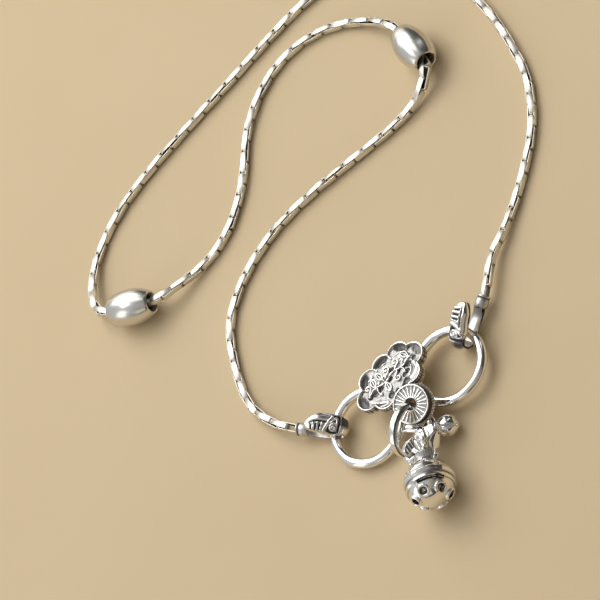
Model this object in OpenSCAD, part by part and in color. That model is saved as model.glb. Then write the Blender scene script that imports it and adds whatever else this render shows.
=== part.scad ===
// Beaded anklet: a silver chain with two barrel beads, closed at the front by two
// carved hooks on two rings that carry a lobed plaque and a cluster of charms.
// Everything lies on the plane z = 0.

/* [Chain] */
// Thickness of the chain
chain_d = 1.0; // [0.8:0.05:1.1]

/* [Barrel beads] */
// Length of a barrel bead
bead_len = 6.6; // [6.2:0.1:7]
// Largest diameter of a barrel bead
bead_d = 4.3; // [4:0.1:4.3]
// Diameter of a barrel bead at its ends
bead_end_d = 2.8; // [2.6:0.1:3.2]
// Diameter of the hole through a barrel bead
bead_bore_d = 1.7; // [1.6:0.05:1.8]

/* [Hooks] */
// Width of a hook's band
hook_w = 2.4; // [2.0:0.1:2.4]
// Length of a hook from its socket to its bend
hook_len = 6.6; // [6.4:0.1:7]
// Diameter of the socket that holds the chain
socket_d = 1.7; // [1.6:0.05:1.8]

/* [Rings] */
// Radius of a ring to the middle of its wire
ring_r = 4.2; // [4.1:0.05:4.3]
// Thickness of the ring wire
ring_wire = 1.16; // [1.05:0.01:1.18]

/* [Plaque] */
// Thickness of the plaque
plaque_t = 1.1; // [0.9:0.1:1.2]
// Radius of each lobe of the plaque's outline
lobe_r = 1.4; // [1.3:0.05:1.5]
// Width of the raised rim
plaque_rim = 0.4; // [0.3:0.05:0.5]

/* [Spoked disc] */
// Diameter of the spoked disc
disc_d = 4.4; // [4.2:0.1:4.5]
// Thickness of the spoked disc
disc_t = 1.5; // [1.3:0.1:1.5]
// Diameter of the hole in the spoked disc
disc_hole_d = 1.6; // [1.5:0.05:1.7]
// Number of spokes on each face
spokes = 24; // [16:1:28]

/* [Charm ring] */
// Outer radius of the charm ring
charm_r = 3.0; // [2.95:0.01:3]
// Width of the charm ring's ribbon
ribbon_w = 1.0; // [0.8:0.05:1]
// Thickness of the charm ring's ribbon
ribbon_t = 0.4; // [0.3:0.05:0.4]

/* [Bells] */
// Diameter of the large bell
bell_d = 5.7; // [5.5:0.1:5.7]
// Wall of the large bell
bell_wall = 0.45; // [0.4:0.05:0.6]
// Diameter of each round hole in the large bell
bell_hole_d = 0.7; // [0.6:0.05:0.9]
// Number of round holes
bell_holes = 6; // [5:1:6]
// Diameter of the small bell
small_d = 2.6; // [2.4:0.1:2.6]

/* [Hidden] */

// The middle of the whole piece as laid out, which the origin stands under
middle = [12.627, -2.268];
eps = 0.01;
fine = 96;
medium = 48;
small = 24;

// Where the left ring's and right ring's middles lie, and how far each leans, as its axis
ring_left_at = [-6.84, -19.85, 1.16];
ring_left_axis = [-0.060, -0.070, 0.996];
ring_right_at = [3.75, -24.15, 1.38];
ring_right_axis = [-0.035, 0.005, 0.999];

// The hooks' side outline: the height of the underside below the socket's middle, the thickness of
// the plain leg and of the carved one, the radius of the bend, the free end's place and height
hook_low = -0.45;
hook_t = 0.5;
hook_top_t = 0.75;
hook_bend_r = 1.45;
hook_tip_u = 1.9;
hook_gape = 3.1;
// Radius that rounds the bands across, and the height of its middle
hook_round_r = 2.05;
hook_round_w = 1.1;
// How deep the blind hole for the chain's end is, and the play round the chain
socket_deep = 0.9;
socket_play = 0.07;
hook_play = 0.14;

// For each hook: the angle round its ring where it hangs, its turn, its drop toward the ring, its
// roll about its own length, and the slack between the wire and the bend
hook_left_pose = [124.3, -58.5, 12, 0, 0.25];
hook_right_pose = [9, 196, 7, 6, 0.75];

// The chain's route between the hooks, as chosen points: x, y and height of the chain's middle
way = [
    [-13.1, -6.7, 1.1], [-12.7, -3.0, 0.55],
    [-10.4, 1.6, 0.52], [-6.8, 6.1, 0.52], [-1.6, 8.4, 0.52], [4.6, 8.9, 0.52],
    [10.8, 7.6, 0.52], [17.0, 5.4, 0.52], [22.6, 3.4, 0.52], [26.8, 2.7, 0.9],
    [29.1, 3.3, 1.8],
    [30.4, 3.9, 2.15], [31.75, 10.4, 2.15],
    [31.6, 12.6, 1.9], [30.7, 16.4, 0.9], [28.1, 20.5, 0.52], [23.6, 23.4, 0.52],
    [18.0, 23.8, 0.52], [12.4, 21.6, 0.52], [6.9, 17.2, 0.52], [1.4, 14.7, 0.52],
    [-3.4, 14.6, 0.6], [-8.0, 15.6, 1.6],
    [-10.3, 16.4, 2.15], [-14.7, 21.3, 2.15],
    [-14.8, 23.7, 1.8], [-13.2, 26.6, 1.1], [-9.6, 29.4, 0.52], [-4.2, 30.8, 0.52],
    [2.4, 30.7, 0.52], [9.0, 29.8, 0.52], [16.0, 28.7, 0.52], [23.0, 27.6, 0.52],
    [29.4, 26.2, 0.52], [35.2, 23.0, 0.52], [39.0, 18.0, 0.52], [40.5, 11.4, 0.52],
    [39.6, 4.0, 0.52], [37.8, -2.4, 0.52], [34.9, -8.6, 0.52], [30.5, -13.3, 0.52],
    [24.6, -16.6, 0.52], [21.3, -18.0, 0.6], [18.9, -19.0, 0.9], [16.1, -19.8, 1.1]
];
// The route's points at which each bead begins
top_bead_at = 13;
left_bead_at = 25;
// How far the chain runs straight on either side of a hook's mouth
lead_out = 0.9;
lead_in = 0.6;
// The longest step between two rings of the chain's tube
chain_step = 4;
chain_sides = 8;

// The plaque's middle, its turn and the lobes of one quarter of its outline
plaque_at = [-1.0, -20.0, 2.17];
plaque_turn = -12;
lobe_side = 3.35;
lobe_corner = [2.15, 1.7];
lobe_top = 1.75;
plaque_sink = 0.25;
// The bails behind the plaque: their angles round the two rings, their radius and their wire's radius
bail_left_a = 20;
bail_right_a = 126;
bail_r = 0.98;
bail_wire = 0.26;
// The loop that holds the charm ring: its angle round it, its radius and the ends of its rod
hang_a = -27;
hang_r = 0.86;
hang_from = [-0.4, 0.8, 0.1];
hang_to = [-0.9, -2.5, 0.35];

// The disc's face, the way it leans, and the charm ring that runs through it
disc_at = [-2.08, -25.30, 4.36];
disc_axis = [-0.207, -0.225, 0.952];
disc_rim = 0.25;
spoke_t = 0.15;
spoke_w = 0.12;
charm_at = [-4.50, -26.15, 3.02];
charm_turn = 23;

// The large bell's middle, and the way its neck points
bell_at = [-7.85, -32.97, 2.95];
bell_turn = 60;
bell_tilt = 96;
bell_hole_turn = 59;
bell_hole_polar = 137;
// The rim round each hole, and how far it stands out
hole_rim = 0.25;
hole_lip = 0.06;
// The two raised bands and the slit between the lower one and the holes
band_polars = [90, 107];
band_r = 0.14;
slit_polar = 114;
slit_turn = 209;
slit_angle = 72;
slit_w = 0.28;
// The ball's turn about its neck, so that its seam lies between two holes
seam_turn = 29;
// The neck, its collar and the leaves above them, laid out from the bell's middle
neck_r = 1.2;
neck_top = 1.0;
neck_end = 1.7;
neck_end_r = 0.8;
collar_r = 1.4;
collar_t = 0.35;
leaf_points = [[0, -0.5, 3.9], [-0.5, -1.5, 5.1], [-0.6, -2.3, 5.9]];
leaf_sizes = [0.5, 0.65, 0.3];
bud_points = [[0, 0.3, 3.9], [0.1, 0.9, 5.0]];
bud_sizes = [0.55, 0.4];
// The eye that hangs the bell from the charm ring
bell_eye_at = [-6.10, -26.85, 0.98];
bell_eye_axis = [0.30, 0.10, -0.95];
bell_eye_r = 1.05;
bell_eye_wire = 0.3;
// The stem that joins the eye to the leaves
bell_stem = [[-6.15, -28.22, 2.35], [-6.13, -27.9, 1.0]];

// The small bell's middle and its eye
small_at = [-1.64, -29.10, 1.31];
small_eye_at = [-2.85, -25.45, 0.92];
small_eye_r = 1.05;
// The slot in the small bell
small_slot_at = [0, -0.5, 1.0];
small_slot_turn = [49, 0, -35];
small_slot = [1.2, 0.22, 2];

function unit(v) = v / norm(v);
function mix(a, b, t) = a + (b - a) * t;

// A point at t between p[i] and p[i + 1] on the smooth curve through all the points
function along(p, i, t) =
    let (a = p[max(i - 1, 0)], b = p[i], c = p[i + 1], d = p[min(i + 2, len(p) - 1)])
    0.5 * (2 * b + (c - a) * t + (2 * a - 5 * b + 4 * c - d) * t * t
           + (3 * b - a - 3 * c + d) * t * t * t);

// The stretch inside a bead is straight, so it takes one step
function steps(p, i) =
    i == top_bead_at || i == left_bead_at ? 1 : ceil(norm(p[i + 1] - p[i]) / chain_step);

function smooth(p) = concat(
    [for (i = [0 : len(p) - 2])
        let (n = steps(p, i))
        for (k = [0 : n - 1]) along(p, i, k / n)],
    [p[len(p) - 1]]);

function heading(p, i) = unit(p[min(i + 1, len(p) - 1)] - p[max(i - 1, 0)]);

// A ring of points round p[i], square to the route
function ring_at(p, i, r, sides) =
    let (h = heading(p, i), s = unit(cross(h, [0, 0, 1])), u = cross(s, h))
    [for (k = [0 : sides - 1]) p[i] + r * (cos(360 * k / sides) * s + sin(360 * k / sides) * u)];

// A round tube along the points p
module tube(p, r, sides) {
    n = len(p);
    points = [for (i = [0 : n - 1]) each ring_at(p, i, r, sides)];
    walls = [for (i = [0 : n - 2], k = [0 : sides - 1])
        let (a = i * sides + k, b = i * sides + (k + 1) % sides)
        each [[a, b, b + sides], [a, b + sides, a + sides]]];
    start = [for (k = [0 : sides - 1]) sides - 1 - k];
    end = [for (k = [0 : sides - 1]) (n - 1) * sides + k];
    polyhedron(points = points, faces = concat([start], walls, [end]));
}

// Places a piece whose own axis is +Z so that its axis points along v
module aim(v) {
    d = unit(v);
    rotate([0, acos(d[2]), atan2(d[1], d[0])]) children();
}

// Moves a piece from where it is laid out to the part's own origin
module laid() translate([-middle[0], -middle[1], 0]) children();

module torus(r, wire) rotate_extrude($fn = fine) translate([r, 0]) circle(r = wire, $fn = small);

// A straight rod between two points
module rod(a, b, r) translate(a) aim(b - a) cylinder(h = norm(b - a), r = r, $fn = small);

// A ring's point at the angle a
function on_ring(at, axis, a) =
    at + ring_r * unit([cos(a), sin(a), -(axis[0] * cos(a) + axis[1] * sin(a)) / axis[2]]);

// The directions of a hook's length and height when it stands as pose says
function hook_u(pose) = [cos(pose[1]) * cos(pose[2]), sin(pose[1]) * cos(pose[2]), -sin(pose[2])];
function hook_s(pose) = [-sin(pose[1]), cos(pose[1]), 0];
function hook_w(pose) = cos(pose[3]) * cross(hook_u(pose), hook_s(pose)) - sin(pose[3]) * hook_s(pose);

// Where a hook's mouth lies when the wire point w rests inside its bend
function hook_mouth(wire_at, pose) = wire_at
    - (hook_len - hook_bend_r - pose[4]) * hook_u(pose)
    - (hook_low + hook_t + ring_wire / 2 + hook_play) * hook_w(pose);

left_mouth = hook_mouth(on_ring(ring_left_at, ring_left_axis, hook_left_pose[0]), hook_left_pose);
right_mouth = hook_mouth(on_ring(ring_right_at, ring_right_axis, hook_right_pose[0]), hook_right_pose);
route = concat(
    [left_mouth + lead_in * hook_u(hook_left_pose), left_mouth - lead_out * hook_u(hook_left_pose)],
    way,
    [right_mouth - lead_out * hook_u(hook_right_pose), right_mouth + lead_in * hook_u(hook_right_pose)]);

module chain() {
    color("silver") laid() tube(smooth(route), chain_d / 2, chain_sides);
}

// A barrel bead with its middle at the origin and its hole along +Z
module barrel() {
    bulge = (bead_d - bead_end_d) / 2;
    arc_r = (bead_len * bead_len / 4 + bulge * bulge) / (2 * bulge);
    rotate_extrude($fn = fine) intersection() {
        translate([bead_d / 2 - arc_r, 0]) circle(r = arc_r, $fn = 4 * fine);
        translate([bead_bore_d / 2, -bead_len / 2]) square([bead_d, bead_len]);
    }
}

module bead_on(at) {
    a = route[at];
    b = route[at + 1];
    laid() translate((a + b) / 2) aim(b - a) barrel();
}

module bead_left() {
    color("silver") bead_on(left_bead_at);
}

module bead_top() {
    color("silver") bead_on(top_bead_at);
}

// Points on an arc of the hook's outline
function bow(mid, r, from, to) =
    [for (k = [0 : 8]) let (a = mix(from, to, k / 8)) mid + r * [cos(a), sin(a)]];

// The hook's outline from its side: along the hook, and up from the middle of its socket
function hook_outline() =
    let (mid = [hook_len - hook_bend_r, hook_low + hook_bend_r])
    concat([[0.9, hook_low + 0.1], [1.4, hook_low]],
           bow(mid, hook_bend_r, -90, 84),
           [[hook_tip_u + 0.9, hook_gape], [hook_tip_u + 0.3, hook_gape - 0.1],
            [hook_tip_u, hook_gape - 0.5], [hook_tip_u + 0.25, hook_gape - hook_top_t]],
           bow(mid, hook_bend_r - hook_top_t + 0.12, 84, 0),
           bow(mid, hook_bend_r - hook_t, -20, -90),
           [[1.9, hook_low + hook_t], [1.2, 0.62], [0.9, 0.62]]);

// A hook with its socket's mouth at the origin and its bend along +X, opening upwards
module hook() {
    sleeve = 1.5;
    intersection() {
        rotate([90, 0, 0]) linear_extrude(hook_w, center = true) polygon(hook_outline());
        translate([-1, 0, hook_round_w]) rotate([0, 90, 0])
            cylinder(h = hook_len + 2, r = hook_round_r, $fn = fine);
    }
    difference() {
        rotate([0, 90, 0]) cylinder(h = sleeve, d1 = socket_d - 0.3, d2 = socket_d, $fn = medium);
        translate([-eps, 0, 0]) rotate([0, 90, 0])
            cylinder(h = socket_deep, d = chain_d + 2 * socket_play, $fn = medium);
    }
}

// A hook with its mouth at the point given, turned as its pose says
module posed(mouth, pose) {
    laid() translate(mouth) rotate([0, 0, pose[1]]) rotate([0, pose[2], 0]) rotate([pose[3], 0, 0]) hook();
}

module hook_left() {
    color("silver") posed(left_mouth, hook_left_pose);
}

module hook_right() {
    color("silver") posed(right_mouth, hook_right_pose);
}

module ring_left() {
    color("silver") laid() translate(ring_left_at) aim(ring_left_axis) torus(ring_r, ring_wire / 2);
}

module ring_right() {
    color("silver") laid() translate(ring_right_at) aim(ring_right_axis) torus(ring_r, ring_wire / 2);
}

// The plaque's outline: eight round lobes about an oval field, drawn in by inset
module lobes(inset) {
    for (x = [-1, 1]) {
        translate([x * lobe_side, 0]) circle(r = lobe_r - inset, $fn = medium);
        translate([0, x * lobe_top]) circle(r = lobe_r - inset, $fn = medium);
        for (y = [-1, 1])
            translate([x * lobe_corner[0], y * lobe_corner[1]]) circle(r = lobe_r - inset, $fn = medium);
    }
    polygon([[lobe_side, 0], lobe_corner, [0, lobe_top], [-lobe_corner[0], lobe_corner[1]],
             [-lobe_side, 0], -lobe_corner, [0, -lobe_top], [lobe_corner[0], -lobe_corner[1]]]);
}

// A loop of wire round the point p, square to the direction v
module loop(p, v, r, wire) translate(p) aim(v) torus(r, wire);

// A point of the charm ring's ribbon at the angle a, and the ribbon's direction there
function on_charm(a) = charm_at
    + (charm_r - ribbon_t / 2) * [cos(a) * cos(charm_turn), cos(a) * sin(charm_turn), sin(a)];
function charm_way(a) = [-sin(a) * cos(charm_turn), -sin(a) * sin(charm_turn), cos(a)];

module plaque() {
    left_loop = on_ring(ring_left_at, ring_left_axis, bail_left_a);
    right_loop = on_ring(ring_right_at, ring_right_axis, bail_right_a);
    hang = on_charm(hang_a);
    color("silver") laid() {
        translate(plaque_at) rotate([0, 0, plaque_turn]) difference() {
            linear_extrude(plaque_t) lobes(0);
            translate([0, 0, plaque_t - plaque_sink]) linear_extrude(plaque_sink + eps) lobes(plaque_rim);
        }
        difference() {
            union() {
                loop(left_loop, [-sin(bail_left_a), cos(bail_left_a), 0], bail_r, bail_wire);
                loop(right_loop, [-sin(bail_right_a), cos(bail_right_a), 0], bail_r, bail_wire);
            }
            translate(plaque_at + [-10, -10, plaque_t / 2]) cube([20, 20, 5]);
        }
        loop(hang, charm_way(hang_a), hang_r, bail_wire);
        rod(hang + hang_from, plaque_at + hang_to, bail_wire);
    }
}

// One face's raised work: rims round the edge and the hole, and spokes between them
module disc_work() {
    hub = disc_hole_d / 2;
    difference() {
        cylinder(h = spoke_t, d = disc_d - 0.1, $fn = fine);
        translate([0, 0, -eps]) cylinder(h = 2 * spoke_t, d = disc_d - 0.1 - 2 * disc_rim, $fn = fine);
    }
    difference() {
        cylinder(h = spoke_t, r = hub + disc_rim, $fn = medium);
        translate([0, 0, -eps]) cylinder(h = 2 * spoke_t, r = hub, $fn = medium);
    }
    for (k = [0 : spokes - 1])
        rotate([0, 0, 360 * k / spokes])
            translate([hub + 0.15, -spoke_w / 2, 0])
                cube([disc_d / 2 - hub - 0.35, spoke_w, spoke_t]);
}

// The disc hangs below its upper face, which is at the origin
module spoked_disc() {
    core = disc_t - 2 * spoke_t;
    color("silver") laid() translate(disc_at) aim(disc_axis) {
        translate([0, 0, -spoke_t - core]) difference() {
            cylinder(h = core, d = disc_d, $fn = fine);
            translate([0, 0, -eps]) cylinder(h = core + 2 * eps, d = disc_hole_d, $fn = medium);
        }
        translate([0, 0, -spoke_t]) disc_work();
        translate([0, 0, -spoke_t - core]) mirror([0, 0, 1]) disc_work();
    }
}

module charm_ring() {
    color("silver") laid() translate(charm_at) rotate([90, 0, charm_turn])
        rotate_extrude($fn = fine)
            translate([charm_r - ribbon_t, -ribbon_w / 2]) square([ribbon_t, ribbon_w]);
}

// A petal through round ends of the sizes given
module petal(points, sizes) {
    hull() for (k = [0 : len(points) - 1]) translate(points[k]) sphere(r = sizes[k], $fn = small);
}

// Turns its children to each of the bell's round holes, with +Z pointing out through the hole
module at_holes() {
    for (k = [0 : bell_holes - 1])
        rotate([0, 0, bell_hole_turn + 360 * k / bell_holes]) rotate([0, bell_hole_polar, 0]) children();
}

// Half the bell's outer section: the ball, its two bands, the neck and the collar
module bell_section(r) {
    intersection() {
        circle(r = r, $fn = 4 * fine);
        translate([0, -r]) square([r, 2 * r]);
    }
    for (polar = band_polars)
        translate([r * sin(polar) - 0.06, r * cos(polar)]) circle(r = band_r, $fn = small);
    translate([0, r - 0.25]) square([neck_r, neck_top]);
    translate([0, r + 0.7]) square([collar_r, collar_t]);
    polygon([[0, r + neck_top], [neck_r, r + neck_top], [neck_end_r, r + neck_end], [0, r + neck_end]]);
}

// The large bell with its middle at the origin and its neck along +Z
module bell() {
    r = bell_d / 2;
    difference() {
        union() {
            rotate([0, 0, seam_turn]) rotate_extrude($fn = fine) bell_section(r);
            at_holes() translate([0, 0, r - 0.4])
                cylinder(h = 0.4 + hole_lip, d = bell_hole_d + 2 * hole_rim, $fn = medium);
        }
        rotate([0, 0, seam_turn]) sphere(r = r - bell_wall, $fn = fine);
        at_holes() translate([0, 0, r - 1]) cylinder(h = 2, d = bell_hole_d, $fn = medium);
        rotate([0, 0, slit_turn - slit_angle / 2]) translate([0, 0, r * cos(slit_polar) - slit_w / 2])
            rotate_extrude(angle = slit_angle, $fn = fine) translate([r * 0.7, 0]) square([r, slit_w]);
    }
}

module leaf_bell() {
    color("silver") laid() {
        translate(bell_at) rotate([0, bell_tilt, bell_turn]) {
            bell();
            petal(leaf_points, leaf_sizes);
            petal(bud_points, bud_sizes);
        }
        loop(bell_eye_at, bell_eye_axis, bell_eye_r, bell_eye_wire);
        rod(bell_stem[0], bell_stem[1], 0.35);
    }
}

module small_bell() {
    way = unit(small_eye_at - small_at);
    r = small_d / 2;
    color("silver") laid() {
        difference() {
            translate(small_at) sphere(r = r, $fn = fine);
            translate(small_at + small_slot_at) rotate(small_slot_turn) cube(small_slot, center = true);
        }
        rod(small_at + way * (r - 0.1), small_eye_at - way * small_eye_r, 0.28);
        translate(small_at + way * (r + 0.15)) sphere(r = 0.42, $fn = small);
        loop(small_eye_at, [0, 0, 1], small_eye_r, 0.27);
    }
}

chain();
bead_left();
bead_top();
hook_left();
hook_right();
ring_left();
ring_right();
plaque();
spoked_disc();
charm_ring();
leaf_bell();
small_bell();
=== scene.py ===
"""Looks of the beaded anklet: chain, beads, carved hooks, rings, plaque, disc and bells."""

import logging
import math
from dataclasses import dataclass, field
from enum import Enum
from typing import Callable, Sequence

import bmesh
import bpy
import numpy as np
from mathutils import Matrix, Vector

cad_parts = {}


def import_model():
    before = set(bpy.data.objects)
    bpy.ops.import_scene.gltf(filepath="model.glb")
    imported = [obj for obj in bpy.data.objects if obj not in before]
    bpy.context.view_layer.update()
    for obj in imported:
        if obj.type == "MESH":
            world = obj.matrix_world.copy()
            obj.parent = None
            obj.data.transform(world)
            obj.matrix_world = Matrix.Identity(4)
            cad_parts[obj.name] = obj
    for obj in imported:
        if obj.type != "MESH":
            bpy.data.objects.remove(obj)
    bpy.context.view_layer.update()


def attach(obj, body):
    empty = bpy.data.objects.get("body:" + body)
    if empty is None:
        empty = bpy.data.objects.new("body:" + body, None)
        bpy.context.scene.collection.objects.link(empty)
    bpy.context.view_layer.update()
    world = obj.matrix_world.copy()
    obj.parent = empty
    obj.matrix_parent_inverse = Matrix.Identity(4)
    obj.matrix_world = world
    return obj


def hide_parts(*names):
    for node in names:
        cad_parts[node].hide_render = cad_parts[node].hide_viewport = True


log = logging.getLogger("anklet")

Array = np.ndarray
Point = tuple[float, float, float]
Spot = tuple[float, float]
Place = Point | Array
Colour = tuple[float, float, float, float]

# The middle of the anklet as laid out, in millimetres, which the origin stands under
MIDDLE = (12.627, -2.268, 0.0)
MM = 0.001

# Points nearer than this are one point, and a limb's round end takes this share of its length
WELD = 2e-4
CAP = 0.04


def unit(v: Sequence[float]) -> Array:
    """Returns v, or each row of it, at length one."""
    a = np.asarray(v, float)
    return a / np.linalg.norm(a, axis=-1, keepdims=True)


def level(angle: float) -> Array:
    """Returns the level direction at an angle in degrees."""
    return np.array([math.cos(math.radians(angle)), math.sin(math.radians(angle))])


def ease(low: float, high: float, x: Array) -> Array:
    """Rises smoothly from 0 at low to 1 at high."""
    t = np.clip((x - low) / (high - low), 0.0, 1.0)
    return t * t * (3.0 - 2.0 * t)


def smooth_path(points: Sequence[Place], per_span: int = 16) -> Array:
    """Lays a smooth curve through points.

    Args:
        points: The points that it passes through.
        per_span: Steps between two of them.

    Returns:
        The curve's points, one row each.
    """
    p = np.asarray(points, float)
    rows = []
    for i in range(len(p) - 1):
        a, b, c, d = p[max(i - 1, 0)], p[i], p[i + 1], p[min(i + 2, len(p) - 1)]
        for k in range(per_span):
            t = k / per_span
            rows.append(0.5 * (2 * b + (c - a) * t + (2 * a - 5 * b + 4 * c - d) * t * t
                               + (3 * b - a - 3 * c + d) * t ** 3))
    rows.append(p[-1])
    return np.array(rows)


def run_of(line: Array) -> Array:
    """Returns how far along a line each of its points lies."""
    return np.concatenate([[0], np.cumsum(np.linalg.norm(np.diff(line, axis=0), axis=1))])


def read_off(s: Array, run: Array, rows: Array) -> Array:
    """Returns a table's rows at each s, where run holds the s of each of them."""
    return np.stack([np.interp(s, run, column) for column in rows.T], -1)


def framed(axes: Array, at: Place) -> Matrix:
    """Returns the 4 by 4 matrix of three directions, given as columns, at a place."""
    m = Matrix(axes.tolist()).to_4x4()
    m.translation = Vector(at)
    return m


def show(obj: bpy.types.Object) -> bpy.types.Object:
    """Puts an object into the scene, and returns it."""
    bpy.context.scene.collection.objects.link(obj)
    return obj


@dataclass(frozen=True)
class Seat:
    """Where a shape stands: its place, and its turns about X, then Y, then Z, in degrees."""

    at: Place = (0.0, 0.0, 0.0)
    turn: Point = (0.0, 0.0, 0.0)

    @staticmethod
    def aimed(at: Place, way: Place) -> "Seat":
        """Returns the seat at a place whose own +Z points along way."""
        x, y, z = unit(way)
        tilt = math.degrees(math.acos(max(-1.0, min(1.0, z))))
        return Seat(at, (0.0, tilt, math.degrees(math.atan2(y, x))))

    def axes(self) -> Array:
        """Returns the seat's three directions as the columns of a matrix."""
        a, b, c = np.radians(self.turn)
        x = np.array([[1, 0, 0], [0, math.cos(a), -math.sin(a)], [0, math.sin(a), math.cos(a)]])
        y = np.array([[math.cos(b), 0, math.sin(b)], [0, 1, 0], [-math.sin(b), 0, math.cos(b)]])
        z = np.array([[math.cos(c), -math.sin(c), 0], [math.sin(c), math.cos(c), 0], [0, 0, 1]])
        return z @ y @ x

    def matrix(self) -> Matrix:
        """Returns the seat as a 4 by 4 matrix."""
        return framed(self.axes(), self.at)


class Shape:
    """One closed shape while it is formed, in millimetres, with how dark each point is."""

    def __init__(self) -> None:
        """Starts an empty shape."""
        self.bm = bmesh.new()
        # Each point's darkness: real tarnish in the hollows of the carving, painted shade in bores, holes,
        # slots and under parts.
        self.dark = self.bm.verts.layers.float.new("tarnish_and_shade")

    def drape(self, rows: int, cols: int, form: Callable[[Array, Array], tuple]) -> "Shape":
        """Lays a grid over a form and closes it where its edges meet.

        Args:
            rows: Steps of v.
            cols: Steps of u.
            form: Gives the points and their darkness, tarnish and painted shade alike, for u and v, which run
                from 0 to 1.

        Returns:
            The shape itself.
        """
        bmesh.ops.create_grid(self.bm, x_segments=cols, y_segments=rows, size=1.0)
        verts = list(self.bm.verts)
        flat = np.array([v.co[:2] for v in verts])
        flat = (flat - flat.min(0)) / (flat.max(0) - flat.min(0))
        points, dark = form(flat[:, 0], flat[:, 1])
        dark = np.broadcast_to(dark, len(verts))
        for v, p, d in zip(verts, points, dark):
            v.co = p
            v[self.dark] = d
        return self.close()

    def turned(self, profile: Sequence[Spot], steps: int, closed: bool = True) -> "Shape":
        """Turns a profile once round the Z axis, as on a lathe.

        Args:
            profile: Radius and height of each of its points.
            steps: Steps round the axis.
            closed: Whether the profile's last point joins its first.

        Returns:
            The shape itself.
        """
        verts = [self.bm.verts.new((r, 0.0, z)) for r, z in profile]
        ends = verts[1:] + verts[:1] if closed else verts[1:]
        edges = [self.bm.edges.new(pair) for pair in zip(verts, ends)]
        bmesh.ops.spin(self.bm, geom=verts + edges, cent=(0, 0, 0), axis=(0, 0, 1), dvec=(0, 0, 0),
                       angle=2 * math.pi, steps=steps, use_merge=True, use_duplicate=False)
        return self.close()

    def close(self) -> "Shape":
        """Merges points that lie on each other, and faces everything outwards."""
        bmesh.ops.remove_doubles(self.bm, verts=list(self.bm.verts), dist=WELD)
        bmesh.ops.recalc_face_normals(self.bm, faces=list(self.bm.faces))
        return self

    def stain(self, dark: Callable[[Array], Array]) -> "Shape":
        """Sets each point's darkness, tarnish and painted shade alike, from its place."""
        verts = list(self.bm.verts)
        values = np.broadcast_to(dark(np.array([v.co for v in verts])), len(verts))
        for v, d in zip(verts, values):
            v[self.dark] = d
        return self

    def bend(self, move: Callable[[Array], Array]) -> "Shape":
        """Moves each point to where move puts it."""
        verts = list(self.bm.verts)
        for v, p in zip(verts, move(np.array([v.co for v in verts]))):
            v.co = p
        return self

    def mesh(self, seat: Seat = Seat()) -> bpy.types.Mesh:
        """Returns the shape as a mesh at its seat."""
        mesh = bpy.data.meshes.new("shape")
        self.bm.to_mesh(mesh)
        mesh.transform(seat.matrix())
        return mesh


def limb(points: Sequence[Place], wide: Sequence[float], high: Sequence[float],
         up: Point = (0.0, 0.0, 1.0), rows: int = 30, sides: int = 16) -> Shape:
    """Forms a rounded limb along a smooth curve, closed at both ends.

    Args:
        points: Points of its middle line.
        wide: Half its width at equal steps along it.
        high: Half its height at the same steps.
        up: The way its height goes.
        rows: Steps along it.
        sides: Steps round it.

    Returns:
        The limb.
    """
    line = smooth_path(points)
    heading = np.gradient(line, axis=0)
    steps = np.linspace(0, 1, len(line))

    def form(u: Array, v: Array) -> tuple:
        """Gives the limb's surface."""
        t = np.clip((u - CAP) / (1 - 2 * CAP), 0, 1)
        push = (np.maximum(u - (1 - CAP), 0) - np.maximum(CAP - u, 0)) / CAP
        thin = np.sqrt(np.clip(1 - push ** 2, 0, 1))
        h = unit(read_off(t, steps, heading))
        s = unit(np.cross(h, np.asarray(up)))
        n = np.cross(s, h)
        a, b = (np.interp(t, np.linspace(0, 1, len(half)), half) for half in (wide, high))
        reach = np.minimum(a, b) * push
        a, b = a * thin * np.cos(2 * np.pi * v), b * thin * np.sin(2 * np.pi * v)
        return read_off(t, steps, line) + a[:, None] * s + b[:, None] * n + reach[:, None] * h, 0.0

    return Shape().drape(sides, rows, form)


def wire_loop(r: float, wire: float, steps: int = 72, sides: int = 18) -> Shape:
    """Turns a round loop of wire.

    Args:
        r: Radius to the middle of the wire.
        wire: Half the wire's thickness.
        steps: Steps round the loop.
        sides: Steps round the wire.

    Returns:
        The loop.
    """
    ring = [(r + wire * math.cos(a), wire * math.sin(a)) for a in np.linspace(0, 2 * np.pi, sides + 1)[:-1]]
    return Shape().turned(ring, steps)


def ball(r: float, steps: int = 32) -> Shape:
    """Returns a round ball of radius r."""
    shape = Shape()
    bmesh.ops.create_uvsphere(shape.bm, u_segments=steps, v_segments=steps // 2, radius=r)
    return shape.close()


class Slot(Enum):
    """The record's material slots."""

    CHAIN = "chain_silver"
    POLISHED = "polished_silver"
    CARVED = "carved_silver"


class Wiring:
    """The nodes of a material or a world while they are wired up."""

    def __init__(self, owner: bpy.types.ID) -> None:
        """Starts on the owner's nodes."""
        owner.use_nodes = True
        self.tree = owner.node_tree

    def feed(self, node: bpy.types.Node, feeds: dict) -> bpy.types.Node:
        """Feeds a node's inputs.

        Args:
            node: The node.
            feeds: What each input gets: another node's output, or a value of its own.

        Returns:
            The node.
        """
        for key, value in feeds.items():
            if isinstance(value, bpy.types.NodeSocket):
                self.tree.links.new(value, node.inputs[key])
            else:
                node.inputs[key].default_value = value
        return node

    def add(self, kind: str, feeds: dict | None = None, **settings: str) -> bpy.types.Node:
        """Adds a node.

        Args:
            kind: Its kind.
            feeds: What its inputs get.
            settings: Its settings.

        Returns:
            The node.
        """
        node = self.tree.nodes.new(f"ShaderNode{kind}")
        for key, value in settings.items():
            setattr(node, key, value)
        return self.feed(node, feeds or {})


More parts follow.
